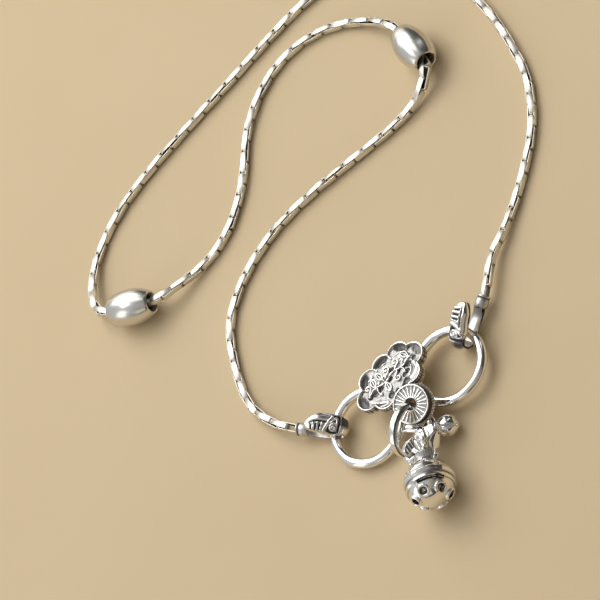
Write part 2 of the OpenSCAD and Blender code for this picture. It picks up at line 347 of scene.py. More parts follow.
@dataclass
class Silver:
    """A silver finish: clean metal, and one dark colour laid where the tarnish_and_shade attribute says, for
    real oxide and for painted shade.
    """

    name: str
    slot: Slot
    metal: Colour = (0.93, 0.91, 0.88, 1.0)
    shade: Colour = (0.86, 0.84, 0.81, 1.0)
    oxide_and_shade: Colour = (0.032, 0.030, 0.028, 1.0)
    gloss: float = 0.10
    worn: float = 0.22
    matt: float = 0.50
    grain: float = 3200.0
    scratch: float = 0.00001
    material: bpy.types.Material = field(init=False)

    def __post_init__(self) -> None:
        """Mixes the material: two tones of metal, the dark oxide and painted shade over them, their gloss,
        and fine scratches.
        """
        self.material = bpy.data.materials.new(self.name)
        nodes = Wiring(self.material)
        where = nodes.add("TexCoord").outputs["Object"]
        cloud = nodes.add("TexNoise", {"Scale": self.grain, "Detail": 3.0, "Vector": where}).outputs["Fac"]
        tarnish_and_shade = nodes.add("Attribute", attribute_name="tarnish_and_shade").outputs["Fac"]
        metal = nodes.add("Mix", {0: cloud, 6: self.metal, 7: self.shade}, data_type="RGBA")
        coat = nodes.add("Mix", {0: tarnish_and_shade, 6: metal.outputs[2], 7: self.oxide_and_shade}, data_type="RGBA")
        rough = nodes.add("MapRange", {"Value": cloud, "To Min": self.gloss, "To Max": self.worn})
        blend = nodes.add("Math", {0: tarnish_and_shade, 1: self.matt, 2: rough.outputs["Result"]},
                          operation="MULTIPLY_ADD")
        bump = nodes.add("Bump", {"Strength": 0.6, "Distance": self.scratch, "Height": cloud})
        nodes.feed(nodes.tree.nodes["Principled BSDF"], {
            "Metallic": 1.0, "Base Color": coat.outputs[2], "Roughness": blend.outputs["Value"],
            "Normal": bump.outputs["Normal"]})


class Workpiece:
    """A finished piece that gathers its shapes and takes a CAD node's place."""

    def __init__(self, name: str, node: str, finish: Silver) -> None:
        """Starts a piece.

        Args:
            name: The piece's name.
            node: The CAD node that it stands for.
            finish: Its finish.
        """
        self.name, self.node, self.finish = name, node, finish
        self.bm = bmesh.new()

    def add(self, part: Shape | bpy.types.Mesh, *seats: Seat) -> "Workpiece":
        """Solders a shape or a mesh on, and drops the mesh.

        Args:
            part: The shape or mesh.
            seats: Its seat, then the seat that this one stands on, if there is one.

        Returns:
            The piece itself.
        """
        mesh = part.mesh() if isinstance(part, Shape) else part
        for seat in seats:
            mesh.transform(seat.matrix())
        self.bm.from_mesh(mesh)
        bpy.data.meshes.remove(mesh)
        return self

    def done(self, crisp: float = 38.0) -> bpy.types.Object:
        """Makes the piece's object, in the frame's metres.

        Args:
            crisp: Edges sharper than this many degrees stay crisp.

        Returns:
            The object.
        """
        mesh = bpy.data.meshes.new(self.name)
        self.bm.to_mesh(mesh)
        self.bm.free()
        mesh.transform(Matrix.Scale(MM, 4) @ Matrix.Translation(-Vector(MIDDLE)))
        mesh.polygons.foreach_set("use_smooth", [True] * len(mesh.polygons))
        mesh.set_sharp_from_angle(angle=math.radians(crisp))
        mesh.materials.append(self.finish.material)
        obj = show(bpy.data.objects.new(self.name, mesh))
        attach(obj, "root")
        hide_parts(self.node)
        log.info("%s: %d faces", self.name, len(mesh.polygons))
        return obj


def carved_out(body: Shape, cutters: Sequence[tuple[Shape, Seat]]) -> bpy.types.Mesh:
    """Cuts closed shapes out of a body.

    Args:
        body: The body.
        cutters: The shapes to cut away, with their seats.

    Returns:
        The cut mesh.
    """
    block = bmesh.new()
    for shape, seat in cutters:
        mesh = shape.mesh(seat)
        block.from_mesh(mesh)
        bpy.data.meshes.remove(mesh)
    tool_mesh = bpy.data.meshes.new("cutter")
    block.to_mesh(tool_mesh)
    block.free()
    tool = show(bpy.data.objects.new("cutter", tool_mesh))
    work = show(bpy.data.objects.new("work", body.mesh()))
    cut = work.modifiers.new("cut", "BOOLEAN")
    cut.operation, cut.solver, cut.object, cut.use_self = "DIFFERENCE", "EXACT", tool, True
    bpy.context.view_layer.update()
    result = bpy.data.meshes.new_from_object(work.evaluated_get(bpy.context.evaluated_depsgraph_get()))
    for obj in (tool, work):
        mesh = obj.data
        bpy.data.objects.remove(obj)
        bpy.data.meshes.remove(mesh)
    return result


def line_distance(points: Sequence[Spot], x: Array, y: Array) -> Array:
    """Returns how far each x, y lies from a line through points."""
    best = np.full(len(x), 1e9)
    for (ax, ay), (bx, by) in zip(points[:-1], points[1:]):
        dx, dy = bx - ax, by - ay
        span = max(dx * dx + dy * dy, 1e-12)
        t = np.clip(((x - ax) * dx + (y - ay) * dy) / span, 0, 1)
        best = np.minimum(best, np.hypot(x - ax - t * dx, y - ay - t * dy))
    return best


@dataclass(frozen=True)
class Stroke:
    """A line raised on a carved face, or cut into it where lift is negative."""

    points: tuple[Spot, ...]
    width: float
    lift: float

    def relief(self, x: Array, y: Array) -> Array:
        """Returns the stroke's height at each x, y."""
        return self.lift * ease(0.0, 0.6, 1.0 - line_distance(self.points, x, y) / self.width)


def scroll(at: Spot, r: float, turns: float, start: float) -> tuple[Spot, ...]:
    """Returns the points of a spiral that winds in to the left.

    Args:
        at: Its middle.
        r: Its outer radius.
        turns: How many times it winds round.
        start: The angle at which it starts, in degrees.

    Returns:
        The points.
    """
    return tuple(tuple(np.array(at) + r * (1 - 0.8 * t) * level(start + 360 * turns * t))
                 for t in np.linspace(0, 1, 14))


def leaf_line(at: Spot, length: float, width: float, turn: float) -> tuple[Spot, ...]:
    """Returns the closed outline of a small pointed leaf.

    Args:
        at: Its middle.
        length: Its length.
        width: Its width.
        turn: The way that it points, in degrees.

    Returns:
        The points.
    """
    c, s = level(turn)
    rim = [(length / 2 * -math.cos(a), width / 2 * math.sin(a) * abs(math.sin(a)) ** 0.5)
           for a in np.linspace(0, 2 * math.pi, 17)]
    return tuple((at[0] + c * x - s * y, at[1] + s * x + c * y) for x, y in rim)


@dataclass(frozen=True)
class Carving:
    """Strokes and hollows worked into a face."""

    raised: tuple[Stroke, ...] = ()
    cut: tuple[Stroke, ...] = ()

    def relief(self, x: Array, y: Array) -> Array:
        """Returns the height of the carving at each x, y."""
        high, low = np.zeros((2, len(x)))
        for stroke in self.raised:
            high = np.maximum(high, stroke.relief(x, y))
        for stroke in self.cut:
            low = np.minimum(low, stroke.relief(x, y))
        return np.where(high > 0.02, low * 0.2 + high, low + high)


@dataclass(frozen=True)
class HookPose:
    """How a hook hangs: the angle round its ring, its turn, drop, roll and slack on the wire."""

    ring_angle: float
    turn: float
    drop: float
    roll: float
    slack: float

    def axes(self) -> tuple[Array, Array]:
        """Returns the directions of the hook's length and height."""
        t, d, r = (math.radians(a) for a in (self.turn, self.drop, self.roll))
        along = np.array([math.cos(t) * math.cos(d), math.sin(t) * math.cos(d), -math.sin(d)])
        side = np.array([-math.sin(t), math.cos(t), 0.0])
        return along, math.cos(r) * np.cross(along, side) - math.sin(r) * side


@dataclass(frozen=True)
class WireRing:
    """A round ring of thick wire."""

    name: str
    node: str
    at: Point
    axis: Point
    r: float = 4.2
    wire: float = 1.16

    def point(self, angle: float) -> Array:
        """Returns the middle of the wire at an angle round the ring."""
        x, y = level(angle)
        a, b, c = self.axis
        return np.array(self.at) + self.r * unit([x, y, -(a * x + b * y) / c])

    def build(self, finish: Silver) -> bpy.types.Object:
        """Makes the ring, with the faint flats that drawing and closing leave on it."""
        ring = wire_loop(self.r, self.wire / 2, 144, 32)

        def wear(p: Array) -> Array:
            """Draws the wire in by a few hundredths of a millimetre here and there."""
            a = np.arctan2(p[:, 1], p[:, 0])
            mid = np.stack([self.r * np.cos(a), self.r * np.sin(a), np.zeros(len(p))], 1)
            q = np.arctan2(p[:, 2], np.hypot(p[:, 0], p[:, 1]) - self.r)
            dip = 0.012 * np.sin(3 * a + 2 * q) + 0.010 * np.sin(7 * a - q + 1.0)
            return mid + (p - mid) * (1 - np.abs(dip) / (self.wire / 2))[:, None]

        seat = Seat.aimed(self.at, self.axis)
        return Workpiece(self.name, self.node, finish).add(ring.bend(wear), seat).done()


@dataclass(frozen=True)
class CarvedHook:
    """A carved hook: a ferrule for the chain, a plain leg, a bend and a carved leg above it.

    The carved face falls away by its slope beyond its brow. skew leans the tip across, spread and shift set
    the carving across it, blunt widens it and reach lengthens it. fine holds the share of the steps that the
    carved leg takes, with its length, and parts the shares round the section where face, wall and inner face
    end.
    """

    name: str
    node: str
    pose: HookPose
    ring: WireRing
    length: float = 6.6
    low: float = -0.45
    leg: float = 0.5
    bend_r: float = 1.45
    bend_inner: float = 0.85
    play: float = 0.14
    carved: float = 4.35
    brow: float = 0.25
    slope: float = 0.07
    skew: float = -0.32
    spread: float = 1.0
    shift: float = 0.0
    blunt: float = 0.0
    reach: float = 0.0
    fine: Spot = (0.68, 5.4)
    parts: Point = (0.62, 0.66, 0.96)

    def mouth(self) -> Array:
        """Returns the middle of the ferrule's open end."""
        along, up = self.pose.axes()
        wire = self.ring.point(self.pose.ring_angle)
        return (wire - (self.length - self.bend_r - self.pose.slack) * along
                - (self.low + self.leg + self.ring.wire / 2 + self.play) * up)

    def sides(self) -> tuple[Array, Array]:
        """Returns the outer and inner lines of the band from its free tip round to the ferrule."""
        mid = np.array([self.length - self.bend_r, self.low + self.bend_r])
        tip = 1.90 - self.reach
        outer = [(tip, 2.55), (tip + 0.07, 2.81), (tip + 0.40, 3.01), (2.8, 3.10), (3.6, 3.04), (4.5, 2.72)]
        inner = [(tip, 2.53), (tip + 0.12, 2.38), (tip + 0.45, 2.34), (2.8, 2.26), (3.6, 2.12), (4.5, 1.96)]
        for share in np.linspace(0, 1, 15):
            way = level(78 - 168 * share)
            outer.append(tuple(mid + self.bend_r * way))
            inner.append(tuple(mid + (self.bend_inner + 0.1 * share) * way))
        outer += [(4.2, -0.45), (3.2, -0.45), (2.2, -0.45), (1.4, -0.45), (0.9, -0.35)]
        inner += [(4.2, 0.05), (3.2, 0.05), (2.2, 0.1), (1.4, 0.42), (0.9, 0.5)]
        return tuple(smooth_path([(x, 0, z) for x, z in side], 10)[:, ::2] for side in (outer, inner))

    def carving(self) -> Carving:
        """Returns the leaf-work on the upper leg, by distance from the tip and across."""
        raised = (
            (((0.75, 0.2), (1.3, 0.45), (2.1, 0.55), (3.0, 0.58)), 0.40, 0.08),
            (((3.55, 0.75), (3.15, 0.1), (2.75, -0.9)), 0.20, 0.15),
            (((3.45, 0.05), (4.15, 0.05), (3.95, 0.75), (3.45, 0.05)), 0.13, 0.12),
            (scroll((3.75, -0.5), 0.44, 1.3, 90), 0.13, 0.13),
            (((0.95, -0.2), (1.05, -0.95)), 0.17, 0.10),
            (((1.45, -0.15), (1.5, -1.05)), 0.17, 0.11),
            (((2.0, -0.15), (2.0, -1.1)), 0.17, 0.11),
            (((2.5, -0.1), (2.4, -1.1)), 0.17, 0.11),
            (((0.15, 0.0), (0.35, 0.0)), 0.25, 0.05),
        )
        cut = (
            (((0.7, 0.02), (1.5, 0.08), (2.9, 0.1)), 0.13, -0.14),
            (((1.22, -0.35), (1.27, -0.8)), 0.15, -0.16),
            (((1.75, -0.3), (1.75, -0.85)), 0.15, -0.16),
            (((2.25, -0.3), (2.2, -0.85)), 0.14, -0.14),
            (((3.3, -0.45), (3.2, -0.85), (3.6, -1.0), (4.1, -0.95)), 0.18, -0.16),
            (((3.75, 0.3), (3.9, 0.25)), 0.22, -0.16),
            (((3.3, 0.35), (3.6, 0.85), (4.2, 0.9)), 0.16, -0.15),
            (((4.35, -0.8), (4.4, 0.0), (4.35, 0.85)), 0.20, -0.15),
        )
        return Carving(tuple(Stroke(*line) for line in raised), tuple(Stroke(*line) for line in cut))

    def band(self) -> Shape:
        """Forms the bent and carved band."""
        outer, inner = self.sides()
        run = run_of(outer)
        total = run[-1]
        heading = unit(np.gradient(outer, axis=0))
        normal = np.stack([-heading[:, 1], heading[:, 0]], 1)
        normal *= np.sign(normal[20, 1])
        carving = self.carving()
        stations = [0.0, 0.12, 0.45, 0.9, 1.6, 2.5, 3.6, 4.6, 5.6, 7.0, 9.5, total - 1.2, total]
        widths = np.array([0.3, 0.62, 1.05, 1.45, 1.95, 2.26, 2.36, 2.2, 1.8, 1.6, 1.7, 1.4, 1.0])
        widths[:5] += self.blunt
        share, fine_run = self.fine
        face, wall, under = self.parts

        def form(u: Array, v: Array) -> tuple:
            """Gives the band's surface: the carved face, an edge, the inner face, an edge."""
            rest = (u - share) / (1 - share) * (total - fine_run)
            s = np.where(u < share, u / share * fine_run, fine_run + rest)
            w = np.interp(s, stations, widths) / 2
            on_top, on_wall = v < face, (v > face) & (v < wall)
            q = np.where(on_top, 1 - 2 * v / face, np.clip(-1 + 2 * (v - wall) / (under - wall), -1, 1))
            q = np.where(on_wall, -1, q)
            o, i, n = (read_off(s, run, rows) for rows in (outer, inner, normal))
            y = q * w + self.skew * (1 - ease(0.0, 2.2, s))
            dome = np.interp(s, [0, 1.5, 4.0, 5.5, 8.0, total], [0.12, 0.22, 0.22, 0.22, 0.18, 0.10])
            edge = np.clip((np.abs(q) - 0.86) / 0.14, 0, 1)
            fall = np.where(q > self.brow, self.slope * (q - self.brow) * w, 0.12 * (self.brow - q) * w)
            mix = ease(0.2, 1.2, s) * (1 - ease(3.6, 4.8, s))
            drop = mix * fall + (1 - mix) * dome * q * q + 0.13 * (1 - np.sqrt(1 - edge ** 2))
            along = s * self.carved / (self.carved + self.reach)
            cut = carving.relief(along, (q * w - self.shift) * self.spread)
            cut = cut * ease(0.0, 0.12, w * (1 - np.abs(q))) * (s < 5.0)
            top = o + n * (cut - drop)[:, None]
            crown = 0.13 * (1 - q * q) * ease(8.6, 9.6, s)
            xz = np.where(on_top[:, None], top, i - n * crown[:, None])
            sunk = 0.42 * (1 - ease(0.01, 0.07, cut)) * ease(0.5, 0.9, s)
            sunk = sunk * (s < 4.6 + self.reach) * (q < self.brow)
            # Painted shade on the inner face: 0.2 under the carved leg and round the bend, rising to 0.7 on
            # the plain leg near the ferrule.
            inside = 0.2 + 0.5 * ease(total - 2.2, total - 1.3, s)
            dark = np.where(on_top, np.maximum(sunk, ease(0.02, 0.13, -cut) * 0.95), inside)
            dark = np.where(on_wall | (v > under), 0.0, dark)
            bend = ease(4.2, 4.6, s) * (1 - ease(5.4, 6.2, s)) * ease(-0.5, 0.1, y)
            return np.stack([xz[:, 0], y, xz[:, 1]], 1), np.maximum(dark, bend * 0.85 * on_top)

        return Shape().drape(72, 190, form)

    def ferrule(self) -> Shape:
        """Turns the ferrule that takes the chain's end, with its lip and the groove behind it."""
        bore, groove = 0.62, 0.32

        def darken_ferrule(p: Array) -> Array:
            """Darkens the ferrule: painted shade inside its mouth, the groove behind its lip, and the rest a
            little.
            """
            rad = np.hypot(p[:, 0], p[:, 1])
            behind = (np.abs(p[:, 2] - groove) < 0.07) & (rad > bore)
            return np.where((rad < bore) & (p[:, 2] > 0.05), 0.9, np.where(behind, 0.85, 0.35))

        return Shape().turned([
            (0.60, 0.0), (0.63, -0.0), (0.72, 0.03), (0.77, 0.12), (0.76, 0.20), (0.69, 0.27), (0.67, groove),
            (0.69, 0.37), (0.75, 0.43), (0.78, 0.7), (0.77, 1.0), (0.71, 1.3), (0.58, 1.52), (0.35, 1.66),
            (0.05, 1.70), (0.05, 0.95), (0.56, 0.90), (0.60, 0.85)], 40).stain(darken_ferrule)

    def build(self, finish: Silver) -> bpy.types.Object:
        """Makes the hook at its place on the ring."""
        seat = Seat(self.mouth(), (self.pose.roll, self.pose.drop, self.pose.turn))
        piece = Workpiece(self.name, self.node, finish)
        piece.add(self.band(), seat).add(self.ferrule(), Seat((0, 0, 0), (0, 90, 0)), seat)
        return piece.done(42.0)


@dataclass
class Route:
    """The chain's route from hook to hook, as a smooth line."""

    points: Sequence[Point]
    line: Array = field(init=False)
    run: Array = field(init=False)

    def __post_init__(self) -> None:
        """Lays the line and measures it."""
        self.line = smooth_path(self.points, 24)
        self.run = run_of(self.line)

    def at(self, s: float) -> Array:
        """Returns the point at a distance along the route."""
        return read_off(s, self.run, self.line)


@dataclass(frozen=True)
class BoxChain:
    """Long box links, each a quarter turn from the last: link is their length, and band their width."""

    pitch: float = 1.42
    link: float = 2.79
    size: float = 1.0
    band: float = 0.60
    plate: float = 0.17

    def one_link(self) -> Shape:
        """Forms one link: a flat band bent to a long loop with rounded corners."""
        half, tall, corner = self.link / 2, self.size / 2, 0.24
        rim = np.array([(cx * (half - corner), cz * (tall - corner), *level(a))
                        for cx, cz, start in ((1, 1, 0), (-1, 1, 90), (-1, -1, 180), (1, -1, 270))
                        for a in (start + 12, start + 78)])
        b, t = self.band / 2, self.plate
        section = np.array([(-b, -0.06), (0, 0.0), (b, -0.06), (b, -t), (0, -t), (-b, -t)])

        def form(u: Array, v: Array) -> tuple:
            """Gives the link's surface."""
            i = np.round(u * len(rim)).astype(int) % len(rim)
            j = np.round(v * len(section)).astype(int) % len(section)
            r = corner + section[j, 1]
            x = rim[i, 0] + r * rim[i, 2]
            z = rim[i, 1] + r * rim[i, 3]
            # The link's inner face takes 0.8 of painted shade, inside the loop.
            return np.stack([x, section[j, 0], z], 1), np.where(section[j, 1] < -0.1, 0.80, 0.0)

        return Shape().drape(len(section), len(rim), form)

    def build(self, route: Route, finish: Silver) -> bpy.types.Object:
        """Strings the links along the route."""
        piece = Workpiece("box_chain", "chain", finish)
        link = self.one_link()
        count = int((route.run[-1] - self.link) / self.pitch)
        spare = (route.run[-1] - self.link - count * self.pitch) / 2
        for k in range(count + 1):
            s = spare + self.link / 2 + k * self.pitch
            a, b = route.at(s - self.link / 2), route.at(s + self.link / 2)
            x = unit(b - a)
            y = unit(np.cross([0, 0, 1], x))
            z = np.cross(x, y)
            sway = 0.035 * math.sin(2.4 * k)
            x, y = unit(x + sway * y), unit(y - sway * x)
            c, n = level(90 * ((count - k) % 2) + 8 * math.sin(s / 9.0) + 9 * math.sin(2.1 * k))
            mesh = link.mesh()
            mesh.transform(framed(np.stack([x, c * y + n * z, c * z - n * y], 1), (a + b) / 2))
            piece.add(mesh)
        return piece.done(62.0)


@dataclass(frozen=True)
class BarrelBead:
    """A polished barrel bead with a thin flared mouth at each end, slid along the chain towards its start."""

    name: str
    node: str
    start: Point
    end: Point
    length: float = 5.7
    slid: float = 0.45
    d: float = 4.3
    end_d: float = 2.8
    bore: float = 1.7

    def build(self, finish: Silver) -> bpy.types.Object:
        """Turns the bead and threads it on the chain."""
        bulge = (self.d - self.end_d) / 2
        arc = (self.length ** 2 / 4 + bulge ** 2) / (2 * bulge)
        half, r, lip, bore = self.length / 2, self.end_d / 2, 0.12, self.bore / 2
        outer = [(self.d / 2 - arc + math.sqrt(arc ** 2 - z * z), z)
                 for z in np.linspace(lip - half, half - lip, 40)]
        rim = [(r - 0.02, half - 0.05), (r - lip, half), (r - 0.24, half - 0.05), (r - 0.32, half - 0.25),
               (bore + 0.03, half - 0.8), (bore, half - 1.1)]
        profile = outer + rim + [(x, -z) for x, z in reversed(rim)]

        def dark(p: Array) -> Array:
            """Darkens the bore with painted shade."""
            return ease(0.02, 0.3, (r - 0.2) - np.hypot(p[:, 0], p[:, 1])) * 0.9

        way = unit(np.array(self.end) - np.array(self.start))
        mid = (np.array(self.start) + np.array(self.end)) / 2 - self.slid * way
        seat = Seat.aimed(mid, way)
        bead = Shape().turned(profile, 96).stain(dark)
        return Workpiece(self.name, self.node, finish).add(bead, seat).done()


@dataclass(frozen=True)
class CharmRibbon:
    """The flat ribbon ring that carries the disc and the bells."""

    at: Point = (-4.50, -26.15, 3.02)
    turn: float = 23.0
    r: float = 3.0
    width: float = 1.0
    plate: float = 0.4

    def point(self, angle: float) -> Array:
        """Returns a point in the middle of the ribbon."""
        (c, n), (x, y) = level(angle), level(self.turn)
        return np.array(self.at) + (self.r - self.plate / 2) * np.array([c * x, c * y, n])

    def way(self, angle: float) -> Array:
        """Returns the ribbon's direction there."""
        (c, n), (x, y) = level(angle), level(self.turn)
        return np.array([-n * x, -n * y, c])

    def build(self, finish: Silver) -> bpy.types.Object:
        """Makes the ribbon, crowned on its outer face."""
        w, inner = self.width / 2, self.r - self.plate
        profile = [(self.r - 0.07, -w), (self.r - 0.01, -w + 0.07), (self.r, -w + 0.2), (self.r, 0.05),
                   (self.r - 0.01, 0.13), (self.r - 0.045, 0.20), (self.r - 0.08, 0.22),
                   (inner + 0.12, w - 0.02), (inner + 0.04, w), (inner, w - 0.05), (inner, -w + 0.05),
                   (inner + 0.05, -w)]

        def dark(p: Array) -> Array:
            """Paints a dark line between the outer face and the slope beside it, a painted dark reflection.
            """
            off = np.abs(p[:, 2] - 0.2) + 2 * np.maximum(self.r - 0.1 - np.hypot(p[:, 0], p[:, 1]), 0)
            return (1 - ease(0.03, 0.07, off)) * 0.92

        seat = Seat(self.at, (90, 0, self.turn))
        ribbon = Shape().turned(profile, 128).stain(dark)
        return Workpiece("charm_ribbon", "charm_ring", finish).add(ribbon, seat).done()


@dataclass(frozen=True)
class SpokedDisc:
    """The thick disc with thin raised spokes and a round hole."""

    at: Point = (-2.08, -25.30, 4.36)
    axis: Point = (-0.207, -0.225, 0.952)
    d: float = 4.4
    thick: float = 1.5
    hole: float = 1.42
    spokes: int = 24
    pearls: int = 22
    groove: float = 0.15

    def build(self, finish: Silver) -> bpy.types.Object:
        """Forms the disc with both its worked faces."""
        r, h = self.d / 2, self.hole / 2
        face = [(h, 0.10), (h + 0.02, 0.05), (h + 0.06, 0.03), (h + 0.10, 0.05), (h + 0.13, 0.12)]
        face += [(x, self.groove) for x in np.linspace(h + 0.18, r - 0.30, 16)]
        face += [(r - 0.21, 0.11), (r - 0.17, 0.02), (r - 0.11, 0.0), (r - 0.05, 0.02), (r - 0.01, 0.08)]
        wall = [(r - 0.03, z) for z in np.linspace(0.16, self.thick - 0.56, 6)]
        foot = [(r + 0.02, self.thick - 0.52), (r + 0.14, self.thick - 0.40), (r + 0.19, self.thick - 0.26),
                (r + 0.15, self.thick - 0.13), (r + 0.0, self.thick - 0.08)]
        back = [(x, self.thick - z) for x, z in reversed(face)]
        bore = [(h - 0.01, z) for z in np.linspace(self.thick - 0.12, 0.1, 6)]
        line = np.array(face + wall + foot + back + bore)
        n, foot_at = len(line), len(face) + len(wall)
        step = 2 * np.pi / self.spokes

        def form(u: Array, v: Array) -> tuple:
            """Gives the disc's surface: its spokes and rims, its dark wall, and the pearls of its foot."""
            i = np.round(v * n).astype(int) % n
            a = 2 * np.pi * u
            rad, dep = line[i, 0], line[i, 1]
            sway = 0.03 * np.sin(5 * a) + 0.02 * np.sin(11 * a + 1.0)
            off = np.abs((a / step + sway + 0.5) % 1 - 0.5) * step * rad
            on_face = (rad > h + 0.15) & (rad < r - 0.2)
            rib = 1 - ease(0.04, 0.11, off)
            lift = np.where(on_face, rib * (self.groove - 0.02), 0)
            z = np.where(dep < self.thick / 2, lift - dep, -lift - dep)
            pearls = (i >= foot_at) & (i < foot_at + len(foot))
            pearl = np.abs(np.cos(a * self.pearls))
            rad2 = rad + pearls * 0.09 * (pearl - 1)
            dark = np.where(on_face, (1 - rib) * 0.62, 0.0)
            dark = np.where((i >= len(face)) & (i < foot_at), 0.9, dark)
            dark = np.where(pearls, 0.85 * (1 - pearl ** 0.6), dark)
            # Painted shade inside the hole.
            dark = np.where(i >= n - len(bore), 0.5, dark)
            return np.stack([rad2 * np.cos(a), rad2 * np.sin(a), z], 1), dark

        disc = Shape().drape(n, self.spokes * 12, form)
        seat = Seat.aimed(self.at, self.axis)
        return Workpiece("spoked_disc_work", "spoked_disc", finish).add(disc, seat).done(40.0)


@dataclass(frozen=True)
class Lobe:
    """One round lobe of the plaque's outline: its middle, its radius and how deep it is scooped."""

    x: float
    y: float
    r: float
    scoop: float


class Motif(Enum):
    """The small ornaments raised on the plaque's field."""

    LEAF = "leaf"
    SCROLL = "scroll"
    SEED = "seed"

    def strokes(self, at: Spot, turn: float) -> tuple[Stroke, ...]:
        """Returns the motif's raised lines, with the stalk that joins it to the vine.

        Args:
            at: Its middle.
            turn: The way that it grows, in degrees.

        Returns:
            The strokes.
        """
        way = level(turn)
        side = np.array([-way[1], way[0]])
        if self is Motif.LEAF:
            rib = (tuple(at - 0.84 * way), tuple(at + 0.36 * way))
            return Stroke(leaf_line(at, 1.10, 0.62, turn), 0.115, 0.25), Stroke(rib, 0.085, 0.20)
        if self is Motif.SCROLL:
            stalk = (tuple(at - 0.86 * way + 0.46 * side), tuple(at - 0.60 * way + 0.26 * side))
            return (Stroke(stalk + scroll(at, 0.45, 1.15, turn + 180), 0.115, 0.25),)
        return (Stroke((at, (at[0] + 0.05, at[1])), 0.24, 0.21),)


